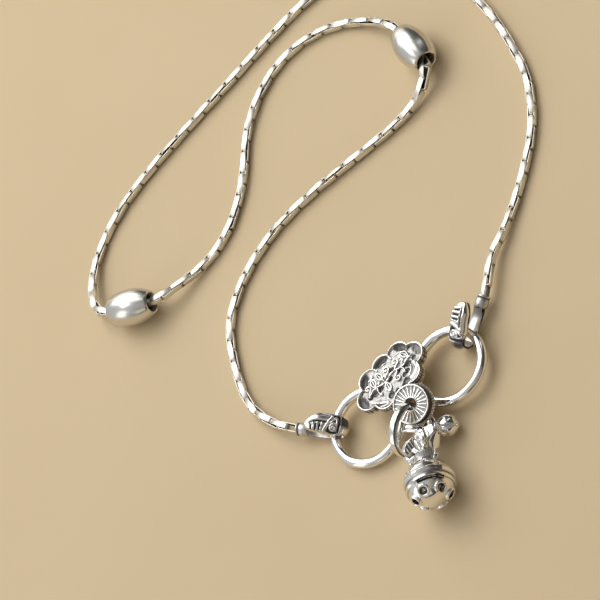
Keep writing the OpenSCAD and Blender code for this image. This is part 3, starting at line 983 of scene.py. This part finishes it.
@dataclass(frozen=True)
class LobedPlaque:
    """The lobed plaque, its leaf and scroll work, its bails and the loop below it."""

    at: Point = (-1.0, -20.0, 2.17)
    turn: float = -12.0
    loop_angle: float = -27.0
    thick: float = 1.1
    rim: float = 0.17
    pearls: int = 36
    field_low: float = 0.20
    pit: float = 0.2
    lobes: tuple[Lobe, ...] = (
        Lobe(3.45, 0.35, 1.40, 0.16), Lobe(2.30, 1.75, 1.35, 0.30), Lobe(0.10, 1.90, 1.40, 0.34),
        Lobe(-2.10, 1.70, 1.40, 0.32), Lobe(-3.45, 0.10, 1.42, 0.28), Lobe(-1.95, -1.40, 1.38, 0.10),
        Lobe(0.0, -1.75, 1.40, 0.10), Lobe(1.98, -1.25, 1.36, 0.06))

    def edge(self, a: Array) -> Array:
        """Returns how far the outline lies from the middle in each direction."""
        far = np.zeros(len(a))
        for lobe in self.lobes:
            along = lobe.x * np.cos(a) + lobe.y * np.sin(a)
            room = along ** 2 - (lobe.x ** 2 + lobe.y ** 2 - lobe.r ** 2)
            far = np.maximum(far, np.where(room > 0, along + np.sqrt(np.maximum(room, 0)), 0))
        return far

    def ornament(self) -> Carving:
        """Returns the leaves, scrolls, seeds and ridges on the field, and the pits between them."""
        places = (
            ((-2.88, 0.98), Motif.SCROLL, 100), ((-1.95, 1.02), Motif.LEAF, 78),
            ((-0.98, 1.14), Motif.LEAF, 100), ((0.05, 1.22), Motif.SCROLL, 84),
            ((1.39, 1.13), Motif.SCROLL, 84), ((2.75, 1.0), Motif.LEAF, 112),
            ((-0.83, -0.72), Motif.LEAF, 262), ((0.65, -0.72), Motif.SCROLL, 274),
            ((-2.0, -0.75), Motif.SEED, 0), ((-0.45, 0.75), Motif.SEED, 0),
            ((2.15, 0.75), Motif.SEED, 0), ((-1.5, 0.6), Motif.SEED, 0))
        raised = [line for at, kind, turn in places for line in kind.strokes(at, turn)]
        vine = tuple((x, 0.22 + 0.17 * math.sin(2.3 * x + 0.5)) for x in np.linspace(-3.3, 3.35, 48))
        raised.append(Stroke(vine, 0.11, 0.22))
        for line in (
                (((3.1, -0.75), (3.0, -1.45), (2.5, -1.9), (1.8, -2.1)), 0.30, 0.26),
                (((2.6, -0.6), (2.3, -1.1), (1.7, -1.5)), 0.13, 0.12),
                (((-3.4, -0.69), (-2.84, -1.35), (-1.93, -2.1)), 0.20, 0.20),
                (((-2.9, -1.85), (-2.5, -2.1), (-1.9, -2.25)), 0.16, 0.16),
                (((1.19, 2.75), (1.28, 1.85)), 0.14, 0.20), (((-1.04, 2.6), (-0.8, 2.0)), 0.14, 0.20),
                (((-3.35, 1.5), (-3.1, 1.1)), 0.16, 0.18), (((3.6, 1.75), (3.25, 1.35)), 0.14, 0.18),
                (((-0.3, 2.15), (0.5, 2.1)), 0.16, 0.10), (((1.7, 1.9), (2.6, 1.75)), 0.14, 0.08),
                (((-2.5, 1.75), (-1.6, 1.9)), 0.16, 0.10),
                (((2.05, 1.35), (2.2, 0.9), (2.05, 0.4)), 0.10, 0.2),
                (((-1.9, 0.25), (-2.1, -0.2), (-2.05, -0.6)), 0.10, 0.2),
                (((1.5, 0.15), (1.75, -0.35), (1.65, -0.8)), 0.10, 0.2)):
            raised.append(Stroke(*line))
        cut = tuple(
            Stroke(((x - 0.07, y - 0.03), (x + 0.07, y + 0.05)), r, -self.pit)
            for x, y, r in (
                (2.95, 0.49, 0.34), (3.36, -0.1, 0.28), (2.45, -0.22, 0.38), (1.86, -0.05, 0.32),
                (1.1, 0.05, 0.32), (1.9, -0.85, 0.28), (1.38, -0.96, 0.28), (1.11, -1.74, 0.42),
                (0.55, 0.62, 0.40), (-0.21, 0.01, 0.34), (-0.81, 0.18, 0.26), (-1.7, -0.08, 0.38),
                (-2.45, -0.12, 0.38), (-3.1, 0.1, 0.42), (-1.14, -1.72, 0.42), (-0.35, -1.85, 0.26),
                (0.6, -1.92, 0.26), (0.7, -0.75, 0.22)))
        return Carving(tuple(raised), cut)

    def face(self, x: Array, y: Array, inward: Array) -> tuple[Array, Array]:
        """Gives the upper face's height below the rim's top, and its tarnish.

        Args:
            x: Along the plaque.
            y: Across it.
            inward: Distance in from the outline.

        Returns:
            The heights and the tarnish.
        """
        bed = -self.field_low * ease(self.rim - 0.06, self.rim + 0.10, inward)
        scoops = np.zeros(len(x))
        for lobe in self.lobes:
            out = math.atan2(lobe.y, lobe.x)
            rho = np.hypot(x - lobe.x, y - lobe.y)
            off = np.abs((np.arctan2(y - lobe.y, x - lobe.x) - out + np.pi) % (2 * np.pi) - np.pi)
            shape = (1 - ease(0.5, 1.25, off)) * ease(0.15, 0.75, rho)
            scoops = np.minimum(scoops, -lobe.scoop * shape)
        inside = ease(self.rim - 0.02, self.rim + 0.14, inward)
        hammer = 0.02 * np.sin(5.3 * x + 1.7 * y) * np.sin(4.9 * y - 2.3 * x)
        hammer += 0.016 * np.sin(11 * x + 2 * y) * np.sin(13 * y - 3 * x)
        height = bed + (scoops + hammer + self.ornament().relief(x, y)) * inside
        dark = np.interp(-height, (0.04, 0.12, 0.18, 0.30, 0.45), (0.0, 0.32, 0.52, 0.76, 0.82)) * inside
        return height, dark

    def slab(self) -> Shape:
        """Forms the plaque's body: upper face, wall and underside in one sheet."""
        top, wall, under, soft = 124, 8, 6, 0.05

        def form(u: Array, v: Array) -> tuple:
            """Gives the plaque's surface."""
            a = 2 * np.pi * u
            far = self.edge(a)
            t = v * (top + wall + under)
            below = np.where(t > top + wall, (top + wall + under - t) / under, 1.0)
            shrink = np.where(t <= top, t / top, below)
            r = far * np.clip(shrink, 0, 1)
            x, y = r * np.cos(a), r * np.sin(a)
            inward = (far - r) * 0.93
            height, dark = self.face(x, y, inward)
            height = height - soft * np.clip(1 - inward / 0.07, 0, 1) ** 2
            down = np.clip((t - top) / wall, 0, 1)
            z = np.where(t <= top, self.thick + height, (self.thick - soft) * (1 - down))
            on_wall = (t > top) & (t < top + wall)
            pearl = np.abs(np.sin(a * self.pearls) * np.sin(np.pi * down * 2))
            swell = np.where(on_wall, soft * (pearl - 1), 0)
            x, y = x + swell * np.cos(a), y + swell * np.sin(a)
            dark = np.where(t <= top, dark, np.where(on_wall, 0.2 - 15 * swell, 0.1))
            return np.stack([x, y, z], 1), np.clip(dark, 0, 1)

        return Shape().drape(top + wall + under, 580, form)

    def build(self, left: WireRing, right: WireRing, charm: CharmRibbon, finish: Silver) -> bpy.types.Object:
        """Makes the plaque with its bails on the two rings and its loop on the ribbon.

        Args:
            left: The ring at its left.
            right: The ring at its right.
            charm: The ribbon below it.
            finish: Its finish.

        Returns:
            The plaque.
        """
        piece = Workpiece("lobed_plaque", "plaque", finish)
        piece.add(self.slab(), Seat(self.at, (0, 0, self.turn)))
        solder, wire = self.at[2] + 0.5, 0.26
        for ring, angle in ((left, 20.0), (right, 126.0)):
            x, y = level(angle)
            bail = wire_loop(0.98, wire)
            bail.bm.transform(Seat.aimed(ring.point(angle), (-y, x, 0.0)).matrix())
            cut = bmesh.ops.bisect_plane(bail.bm, geom=bail.bm.verts[:] + bail.bm.edges[:] + bail.bm.faces[:],
                                         plane_co=(0, 0, solder), plane_no=(0, 0, 1), clear_outer=True)
            rim = [part for part in cut["geom_cut"] if isinstance(part, bmesh.types.BMEdge)]
            bmesh.ops.holes_fill(bail.bm, edges=rim, sides=0)
            piece.add(bail)
        hang = charm.point(self.loop_angle)
        piece.add(wire_loop(0.86, wire), Seat.aimed(hang, charm.way(self.loop_angle)))
        stalk = (hang + np.array([-0.4, 0.8, 0.1]), np.array(self.at) + np.array([-0.9, -2.5, 0.35]))
        return piece.add(limb(stalk, (wire, wire), (wire, wire))).done(50.0)


@dataclass(frozen=True)
class LeafPlate:
    """A pointed leaf of plate with a raised rim and veins across it."""

    points: tuple[Point, ...]
    half: float
    thick: float
    veins: int = 4
    relief: float = 0.07
    rim: float = 0.17
    # shade is painted shade laid evenly over the worked face; depth darkens it further between the veins.
    shade: float = 0.0
    depth: float = 0.8

    def shape(self, up: Point) -> Shape:
        """Forms the leaf with its worked face towards up."""
        wide = (0.15, 0.8 * self.half, self.half, 0.75 * self.half, 0.08)
        line = smooth_path(self.points)
        normal, along = unit(up), unit(line[-1] - line[0])
        across = np.cross(along, normal)
        mid, length = line.mean(0), np.linalg.norm(line[-1] - line[0])

        def worked(p: Array) -> tuple[Array, Array]:
            """Gives the relief and how far each point is on the worked face."""
            x, y = (p - mid) @ along / length + 0.5, (p - mid) @ across
            room = self.half * np.sin(np.pi * np.clip(x, 0, 1)) ** 0.7 - np.abs(y)
            rim = 1 - ease(0.5 * self.rim, self.rim, room)
            vein = 1 - ease(0.10, 0.24, np.abs((x * self.veins + 0.8 * y / self.half) % 1 - 0.5))
            face = ease(0.0, 0.06, (p - mid) @ normal - 0.02)
            return np.maximum(rim, vein), face

        def dark(p: Array) -> Array:
            """Darkens the leaf's worked face evenly by its painted shade, and more between its veins."""
            high, face = worked(p)
            return face * (self.shade + (1 - high) * self.depth)

        plain = limb(self.points, wide, (self.thick, self.thick), up, 64, 64).stain(dark)
        return plain.bend(lambda p: p + (self.relief * np.prod(worked(p), 0))[:, None] * normal)


@dataclass(frozen=True)
class LeafBell:
    """The large bell with its bands, holes, slit, neck, leaves and eye."""

    at: Point = (-7.68, -32.63, 2.93)
    tilt: float = 96.0
    turn: float = 60.0
    d: float = 5.52
    wall: float = 0.42
    hole: float = 0.86
    holes: int = 6
    hole_polar: float = 137.0
    hole_turn: float = 58.0
    bands: Spot = (88.0, 107.0)
    slit_polar: float = 114.0
    slit_turn: float = 209.0

    def seat(self) -> Seat:
        """Returns the bell's seat, with its neck along +Z."""
        return Seat(self.at, (0, self.tilt, self.turn))

    def hole_seat(self, k: int) -> Seat:
        """Returns the seat of a hole, with +Z pointing out of it."""
        return Seat((0, 0, 0), (0, self.hole_polar, self.hole_turn + 360 * k / self.holes))

    def body(self) -> bpy.types.Mesh:
        """Turns the ball with its neck, and cuts its holes and its slit."""
        r = self.d / 2
        profile = []
        for polar in np.linspace(180, 30, 61):
            bump = sum(0.15 * math.exp(-((polar - band) / 3.6) ** 2) for band in self.bands)
            dip = 0.07 * math.exp(-((polar - 97.5) / 2.6) ** 2)
            rad = r + bump - dip
            profile.append((rad * math.sin(math.radians(polar)), rad * math.cos(math.radians(polar))))
        profile += [(1.42, r - 0.36), (1.40, r - 0.20), (1.36, r - 0.10), (1.28, r - 0.02), (1.22, r + 0.16),
                    (1.19, r + 0.35), (1.17, r + 0.55), (1.12, r + 0.75), (1.02, r + 0.98), (0.82, r + 1.18),
                    (0.45, r + 1.33), (0.0, r + 1.38)]
        room = r - self.wall
        inner = [(room * math.sin(p), room * math.cos(p)) for p in np.radians(np.linspace(5, 175, 30))]
        inner = [(0.0, room), *inner, (0.0, -room)]

        def dark(p: Array) -> Array:
            """Darkens the groove between the bands, paints a shadow line along the foot of the lower band,
            darkens the neck from its foot up in a woven pattern, and paints shade inside.
            """
            rad = np.linalg.norm(p, axis=1)
            polar = np.degrees(np.arccos(np.clip(p[:, 2] / np.maximum(rad, 1e-6), -1, 1)))
            groove = np.exp(-((polar - 98.5) / 3.2) ** 2) * 0.95
            # Painted shadow along the foot of the lower band.
            lower = np.exp(-((polar - 112.5) / 1.6) ** 2) * 0.7
            neck = ease(r - 0.12, r + 0.1, p[:, 2])
            a = np.arctan2(p[:, 1], p[:, 0])
            weave = np.abs(np.sin(7 * a + 5.5 * p[:, 2]) * np.sin(7 * a - 5.5 * p[:, 2]))
            worn = neck * (0.72 - 0.6 * weave)
            # Painted shade inside the ball.
            return np.where(rad < r - 0.3, 0.95, np.maximum(np.maximum(groove, lower), worn))

        shell = Shape().turned(profile, 120, closed=False).stain(dark)
        # The inside and the holes are cut with full painted shade on their walls.
        hollow = Shape().turned(inner, 64, closed=False).stain(lambda p: 1.0)
        drill = ((0.0, r - 1.0), (self.hole / 2, r - 1.0), (self.hole / 2, r + 1.0), (0.0, r + 1.0))
        pin = Shape().turned(drill, 28, closed=False).stain(lambda p: 1.0)
        cutters = [(hollow, Seat())] + [(pin, self.hole_seat(k)) for k in range(self.holes)]
        height = r * math.cos(math.radians(self.slit_polar))

        def slit(u: Array, v: Array) -> tuple:
            """Gives the slit's curved block, which leaves full painted shade on the slit's walls."""
            box = np.array([(r * 0.72, -0.17), (r * 1.2, -0.17), (r * 1.2, 0.17), (r * 0.72, 0.17)])
            i = np.round(v * 4).astype(int) % 4
            a = np.radians(self.slit_turn + 72 * (np.clip((u - 0.05) / 0.9, 0, 1) - 0.5))
            shut = (u < 0.02) | (u > 0.98)
            rad = np.where(shut, r * 0.96, box[i, 0])
            z = height + np.where(shut, 0, box[i, 1])
            return np.stack([rad * np.cos(a), rad * np.sin(a), z], 1), 1.0

        cutters.append((Shape().drape(4, 20, slit), Seat()))
        return carved_out(shell, cutters)

    def lips(self, piece: Workpiece) -> None:
        """Solders a raised lip on round each hole, with painted shade on its side towards the hole."""
        r = self.d / 2
        lip = wire_loop(self.hole / 2 + 0.16, 0.18, 40, 14)
        lip.stain(lambda p: ease(0.0, 0.06, self.hole / 2 + 0.04 - np.hypot(p[:, 0], p[:, 1])))
        for k in range(self.holes):
            out = self.hole_seat(k)
            piece.add(lip, Seat(out.axes() @ np.array([0, 0, r + 0.01]), out.turn), self.seat())

    @staticmethod
    def leafwork() -> list[Shape]:
        """Forms the leaves, the bar, the panels, the column and the grains between bell and ribbon."""
        front, facing, up = (0.2, -0.93, 0.32), (0.0, -0.656, 0.755), (0.0, 0.0, 1.0)
        work = [limb(points, wide, high, way, 40, 20) for points, wide, high, way in (
            (((-4.62, -29.98, 2.45), (-3.62, -29.53, 2.49), (-2.52, -28.91, 2.35)),
             (0.35, 0.80, 0.62, 0.12), (0.22, 0.20, 0.18, 0.08), front),
            (((-4.45, -30.44, 2.7), (-4.84, -31.01, 2.85), (-5.5, -31.25, 2.95)),
             (0.12, 0.24, 0.26, 0.12), (0.12, 0.16, 0.1), facing),
            (((-6.0, -29.34, 3.3), (-6.66, -29.21, 3.45), (-7.2, -28.96, 3.3)),
             (0.1, 0.14, 0.16, 0.1), (0.12, 0.14, 0.1), facing),
            (((-4.35, -24.72, 1.75), (-3.98, -25.6, 1.82), (-4.0, -26.75, 2.3), (-4.25, -27.75, 3.0)),
             (0.34, 0.46, 0.46, 0.45), (0.2, 0.24, 0.26, 0.35), up),
            (((-5.02, -25.15, 2.45), (-4.55, -25.85, 2.62), (-4.05, -26.6, 2.55)),
             (0.12, 0.2, 0.25), (0.12, 0.16, 0.2), up))]

        def hammered(p: Array) -> Array:
            """Leaves the small dents of soldered grains."""
            x, y, z = p.T
            dent = np.sin(7.3 * x + 2.0 * z) * np.sin(6.1 * y - 1.7 * x) * np.sin(8.3 * z)
            return p + 0.05 * dent[:, None] * np.array([0.1, -0.2, 0.9])

        column = ((-3.72, -27.35, 3.15), (-4.10, -27.90, 3.30), (-4.35, -28.45, 3.30), (-4.95, -29.35, 3.15))
        work.append(limb(column, (0.40, 0.66, 0.76, 0.70, 0.5), (0.22, 0.30, 0.36, 0.38, 0.35),
                         (-0.1, 0.1, 1.0), 60, 32).bend(hammered))
        for at, size in (
                ((-2.45, -27.92, 3.12), 0.30), ((-3.95, -27.42, 3.35), 0.27), ((-4.34, -28.92, 3.62), 0.34),
                ((-4.86, -29.52, 3.45), 0.30), ((-4.55, -27.95, 3.35), 0.34), ((-7.3, -29.2, 2.9), 0.26)):
            work.append(ball(size, 24).bend(lambda p, at=at: p + np.array(at)))
        panel = LeafPlate(((-6.95, -27.85, 2.82), (-5.95, -27.62, 3.0), (-4.86, -27.17, 2.92)),
                          0.50, 0.16, 5, 0.06, 0.13)
        # The collar takes 0.4 of painted shade over its face.
        collar = LeafPlate(((-6.78, -29.54, 3.3), (-5.66, -30.42, 3.7), (-4.6, -30.82, 3.3)),
                           0.66, 0.14, 9, 0.02, 0.1, 0.4, 0.2)
        petal = LeafPlate(((-1.90, -27.60, 2.62), (-2.92, -28.25, 3.02), (-4.20, -28.95, 3.15)),
                          0.80, 0.2, 2, 0.05, 0.15, 0.0, 0.15)
        work += [panel.shape(facing), collar.shape(facing), petal.shape((0.1, 0.0, 1.0))]
        bar = ((-5.75, -28.85, 2.6), (-5.85, -28.1, 2.85))
        eye_bar = ((-6.15, -28.9, 2.35), (-6.13, -27.9, 1.0))
        work.append(limb(bar, (0.3, 0.3), (0.2, 0.15), facing))
        return work + [limb(eye_bar, (0.35, 0.35), (0.35, 0.35), (1, 0, 0))]

    def build(self, finish: Silver) -> bpy.types.Object:
        """Makes the bell with everything soldered to it."""
        piece = Workpiece("leaf_bell_work", "leaf_bell", finish)
        piece.add(self.body(), self.seat())
        self.lips(piece)
        for shape in self.leafwork():
            piece.add(shape)
        eye_r = 1.05
        eye = [(eye_r + x, z) for x, z in (
            (-0.30, -0.30), (-0.24, -0.38), (0, -0.42), (0.24, -0.38), (0.3, -0.28),
            (0.3, 0.28), (0.24, 0.38), (0, 0.42), (-0.24, 0.38), (-0.30, 0.30))]
        piece.add(Shape().turned(eye, 72), Seat.aimed((-6.10, -26.85, 0.98), (0.30, 0.10, -0.95)))
        return piece.done(40.0)


@dataclass(frozen=True)
class SmallBell:
    """The small bell with its slot, its peg and its eye."""

    at: Point = (-1.60, -28.80, 1.31)
    d: float = 2.56
    eye: Point = (-2.85, -25.45, 0.92)
    eye_r: float = 1.05

    def build(self, finish: Silver) -> bpy.types.Object:
        """Makes the bell and what is soldered to it."""
        piece = Workpiece("small_bell_work", "small_bell", finish)
        r = self.d / 2
        at = np.array(self.at)
        way = unit(np.array(self.eye) - at)
        slot = Shape()
        bmesh.ops.create_cube(slot.bm, size=1.0)
        # The slot and its round ends are cut out with full painted shade on their walls.
        slot.bend(lambda p: p * np.array([1.5, 0.22, 1.6])).stain(lambda p: 1.0)
        end = ball(0.19, 20).stain(lambda p: 1.0)
        turn = (24.0, 32.0, -42.0)
        axes = Seat((0, 0, 0), turn).axes()
        mid = axes @ np.array([0.0, 0.0, r - 0.1])

        def facets(p: Array) -> Array:
            """Presses six soft flats into the ball."""
            a = np.arctan2(p[:, 1], p[:, 0])
            press = 1 - 0.022 * (0.5 - 0.5 * np.cos(6 * a)) * (1 - (p[:, 2] / r) ** 2)
            return p * press[:, None]

        ends = [(end, Seat(mid + axes @ np.array([x, 0, -0.22]))) for x in (0.82, -0.82)]
        piece.add(carved_out(ball(r, 64).bend(facets), [(slot, Seat(mid, turn)), *ends]), Seat(at))
        for side in (-1, 1):
            lip = [mid + axes @ np.array([x, side * 0.17, 0.07 - 0.42 * x * x])
                   for x in (-0.8, -0.4, 0.4, 0.8)]
            piece.add(limb(lip, (0.05, 0.09, 0.09, 0.05), (0.05, 0.08, 0.08, 0.05)), Seat(at))
        piece.add(ball(0.44, 24), Seat(at + way * (r + 0.15)))
        peg = (at + way * (r - 0.1), np.array(self.eye) - way * self.eye_r)
        piece.add(limb(peg, (0.30, 0.30), (0.30, 0.30)))
        piece.add(wire_loop(self.eye_r, 0.31), Seat(self.eye))
        return piece.done()


@dataclass(frozen=True)
class Softbox:
    """A softbox: where it hangs, its width and height, how bright it looks, and its colour."""

    name: str
    at: Point
    size: Spot
    glow: float
    colour: Point

    def hang(self, look: Point) -> None:
        """Hangs it facing a point, as three panels one in front of the other, brightest in their middle.

        Args:
            look: The point.
        """
        way, gap, shares = (Vector(look) - Vector(self.at)).normalized(), 0.004, (1.0, 0.8, 0.6)
        for k, share in enumerate(shares):
            data = bpy.data.lights.new(f"{self.name}_{k}", "AREA")
            data.shape, data.size, data.size_y = "RECTANGLE", self.size[0] * share, self.size[1] * share
            data.energy = self.glow / len(shares) * math.pi * data.size * data.size_y
            data.color = self.colour
            lamp = show(bpy.data.objects.new(data.name, data))
            lamp.location = Vector(self.at) + way * gap * k
            lamp.rotation_euler = way.to_track_quat("-Z", "Y").to_euler()


@dataclass(frozen=True)
class Studio:
    """The camera, the soft lights and the pale floor."""

    target: Point = (-0.012627, 0.002268, 0.0)
    distance: float = 0.4
    elevation: float = 49.0
    roll: Spot = (0.588, 0.809)
    lens: float = 211.2
    sensor: float = 36.0
    under: float = 0.00003
    lit: Point = (-0.015, -0.01, 0.0)
    boxes: tuple[Softbox, ...] = (
        Softbox("key", (0.04, 0.42, 0.44), (0.66, 0.46), 3.6, (1.0, 0.98, 0.95)),
        Softbox("upper_left", (-0.24, 0.16, 0.55), (0.28, 0.24), 2.6, (1.0, 0.99, 0.97)),
        Softbox("left_panel", (-0.50, 0.02, 0.20), (0.22, 0.36), 1.6, (1.0, 0.97, 0.93)),
        Softbox("right_strip", (0.45, 0.05, 0.30), (0.12, 0.36), 0.9, (0.97, 0.98, 1.0)),
        Softbox("overhead", (0.09, 0.12, 0.60), (0.36, 0.28), 1.5, (1.0, 1.0, 1.0)),
        Softbox("back_low", (0.12, 0.62, 0.15), (0.50, 0.20), 1.2, (1.0, 0.98, 0.94)),
        Softbox("behind_camera", (0.0, -0.50, 0.56), (0.80, 0.60), 0.18, (1.0, 0.82, 0.60)),
        Softbox("front", (0.10, -0.50, 0.22), (0.50, 0.16), 0.35, (1.0, 0.87, 0.68)),
        Softbox("front_left", (-0.36, -0.40, 0.18), (0.34, 0.20), 0.7, (1.0, 0.87, 0.68)))

    def camera(self) -> None:
        """Sets the camera at the photograph's angle."""
        e = math.radians(self.elevation)
        right, up = np.array([1.0, 0, 0]), np.array([0, math.sin(e), math.cos(e)])
        back = np.array([0, -math.cos(e), math.sin(e)])
        c, s = self.roll
        data = bpy.data.cameras.new("camera")
        data.lens, data.sensor_width, data.clip_start = self.lens, self.sensor, 0.01
        cam = show(bpy.data.objects.new("camera", data))
        cam.matrix_world = framed(np.stack([c * right - s * up, s * right + c * up, back], 1),
                                  np.array(self.target) + self.distance * back)
        bpy.context.scene.camera = cam

    @staticmethod
    def sky() -> None:
        """Surrounds the scene with soft light, brighter from the upper left and dim from the right."""
        world = bpy.data.worlds.new("studio")
        nodes = Wiring(world)
        where = nodes.add("TexCoord").outputs["Generated"]
        side = nodes.add("VectorMath", {0: where, 1: (-0.62, 0.42, 0.66)}, operation="DOT_PRODUCT")
        fall = nodes.add("MapRange", {"Value": side.outputs["Value"], "From Min": -0.15, "From Max": 1.0,
                                      "To Min": 0.06, "To Max": 0.58}, interpolation_type="SMOOTHSTEP")
        nodes.feed(nodes.tree.nodes["Background"],
                   {"Color": (0.96, 0.98, 1.0, 1), "Strength": fall.outputs["Result"]})
        bpy.context.scene.world = world

    def floor(self) -> None:
        """Lays the plain pale floor, a hair under the anklet."""
        mat = bpy.data.materials.new("pale_floor")
        nodes = Wiring(mat)
        where = nodes.add("TexCoord").outputs["Object"]
        cloud = nodes.add("TexNoise", {"Scale": 40.0, "Vector": where}).outputs["Fac"]
        dim, bright = (0.62, 0.478, 0.290, 1), (0.66, 0.517, 0.322, 1)
        tone = nodes.add("Mix", {0: cloud, 6: dim, 7: bright}, data_type="RGBA")
        nodes.feed(nodes.tree.nodes["Principled BSDF"], {"Roughness": 0.75, "Base Color": tone.outputs[2]})
        mesh = bpy.data.meshes.new("floor")
        bm = bmesh.new()
        bmesh.ops.create_grid(bm, x_segments=1, y_segments=1, size=3.0)
        bm.to_mesh(mesh)
        bm.free()
        mesh.materials.append(mat)
        floor = show(bpy.data.objects.new("floor", mesh))
        floor.location = (0, 0, -self.under)

    def build(self) -> None:
        """Sets the whole studio."""
        self.camera()
        self.floor()
        self.sky()
        bpy.context.scene.view_settings.view_transform = "Standard"
        for box in self.boxes:
            box.hang(self.lit)


# How the two hooks hang on their rings
HOOK_LEFT = HookPose(124.3, -58.5, 12, 0, 0.25)
HOOK_RIGHT = HookPose(9, 196, 7, 6, 0.75)

# The chain's route between the hooks, in millimetres as laid out
WAY: tuple[Point, ...] = (
    (-13.1, -6.7, 1.1), (-12.7, -3.0, 0.55), (-10.4, 1.6, 0.52), (-6.8, 6.1, 0.52), (-1.6, 8.4, 0.52),
    (4.6, 8.9, 0.52), (10.8, 7.6, 0.52), (17.0, 5.4, 0.52), (22.6, 3.4, 0.52), (26.8, 2.7, 0.9),
    (29.1, 3.3, 1.8), (30.4, 3.9, 2.15), (31.75, 10.4, 2.15), (31.6, 12.6, 1.9), (30.7, 16.4, 0.9),
    (28.1, 20.5, 0.52), (23.6, 23.4, 0.52), (18.0, 23.8, 0.52), (12.4, 21.6, 0.52), (6.9, 17.2, 0.52),
    (1.4, 14.7, 0.52), (-3.4, 14.6, 0.6), (-8.0, 15.6, 1.6), (-10.3, 16.4, 2.15), (-14.7, 21.3, 2.15),
    (-14.8, 23.7, 1.8), (-13.2, 26.6, 1.1), (-9.6, 29.4, 0.52), (-4.2, 30.8, 0.52), (2.4, 30.7, 0.52),
    (9.0, 29.8, 0.52), (16.0, 28.7, 0.52), (23.0, 27.6, 0.52), (29.4, 26.2, 0.52), (35.2, 23.0, 0.52),
    (39.0, 18.0, 0.52), (40.5, 11.4, 0.52), (39.6, 4.0, 0.52), (37.8, -2.4, 0.52), (34.9, -8.6, 0.52),
    (30.5, -13.3, 0.52), (24.6, -16.6, 0.52), (21.3, -18.0, 0.6), (18.9, -19.0, 0.9), (16.1, -19.8, 1.1))


def main() -> None:
    """Builds the anklet's looks piece by piece on the fixed frame."""
    logging.basicConfig(level=logging.INFO, format="%(message)s")
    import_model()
    chain_silver = Silver("bright_chain_silver", Slot.CHAIN, (0.82, 0.79, 0.72, 1.0), (0.73, 0.70, 0.63, 1.0),
                          gloss=0.30, worn=0.44)
    polished = Silver("polished_silver", Slot.POLISHED, gloss=0.06, worn=0.13)
    buffed = Silver("buffed_bead_silver", Slot.POLISHED, (0.77, 0.76, 0.71, 1.0), (0.68, 0.67, 0.62, 1.0),
                    gloss=0.20, worn=0.30)
    carved = Silver("carved_silver", Slot.CARVED, gloss=0.12, worn=0.26)

    ring_left = WireRing("wire_ring_left", "ring_left", (-6.84, -19.85, 1.16), (-0.060, -0.070, 0.996))
    ring_right = WireRing("wire_ring_right", "ring_right", (3.75, -24.15, 1.38), (-0.035, 0.005, 0.999))
    left = CarvedHook("carved_hook_left", "hook_left", HOOK_LEFT, ring_left)
    right = CarvedHook("carved_hook_right", "hook_right", HOOK_RIGHT, ring_right, brow=0.68, slope=1.4,
                       skew=-0.05, spread=0.8, shift=0.3, blunt=0.28, reach=0.4)
    left_end, right_end = ([tuple(hook.mouth() + inside * hook.pose.axes()[0]) for inside in (0.6, -0.9)]
                           for hook in (left, right))
    charm = CharmRibbon()
    BoxChain().build(Route((*left_end, *WAY, *reversed(right_end))), chain_silver)
    BarrelBead("barrel_bead_top", "bead_top", WAY[11], WAY[12]).build(buffed)
    BarrelBead("barrel_bead_left", "bead_left", WAY[23], WAY[24]).build(buffed)
    for part, finish in ((ring_left, polished), (ring_right, polished), (left, carved), (right, carved)):
        part.build(finish)
    LobedPlaque().build(ring_left, ring_right, charm, carved)
    SpokedDisc().build(carved)
    for part in (charm, LeafBell(), SmallBell()):
        part.build(polished)
    Studio().build()


if __name__ == "__main__":
    main()
